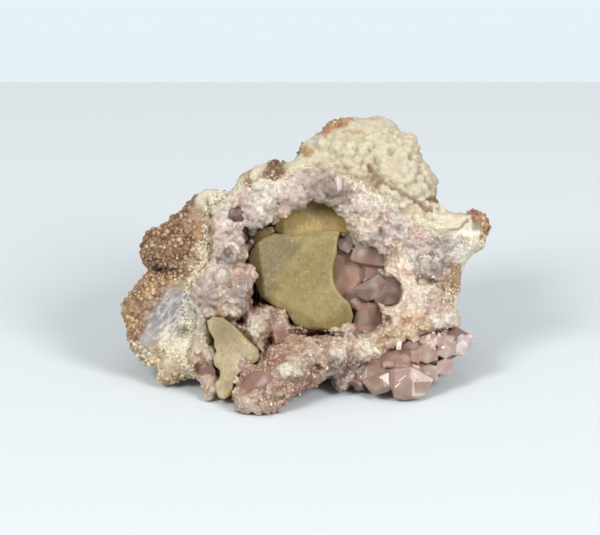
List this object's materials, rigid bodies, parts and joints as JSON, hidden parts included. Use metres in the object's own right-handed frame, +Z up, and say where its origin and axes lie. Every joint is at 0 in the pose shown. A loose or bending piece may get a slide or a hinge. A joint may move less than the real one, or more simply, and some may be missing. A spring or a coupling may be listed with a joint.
{
  "type": "amethyst cluster",
  "caption": "Broken geode piece: rough rock and cream chalcedony around a hollow lined with pale pink amethyst druse, yellow calcite blades inside, larger points at one corner",
  "frame": {"origin": "centre of the bounding box, on the ground it rests on", "axes": "+X along the widest way of the broken face, +Y away from the open hollow, +Z up"},
  "size_m": [0.1114, 0.0776, 0.0719],
  "materials": {
    "host_rock": "rough pitted brown rock with cream chalcedony bands",
    "pale_amethyst": "sparkling druse, white to lilac and peach pink",
    "pink_amethyst": "smooth glassy crystal faces, dusty pink",
    "calcite": "matte translucent honey yellow"
  },
  "bodies": {
    "root": {"geode_wall": "host_rock", "amethyst_crust": "pale_amethyst", "amethyst_cluster": "pink_amethyst", "calcite_main": "calcite", "calcite_upper": "calcite", "calcite_back_left": "calcite", "calcite_lower_left": "calcite"}
  },
  "joints": []
}
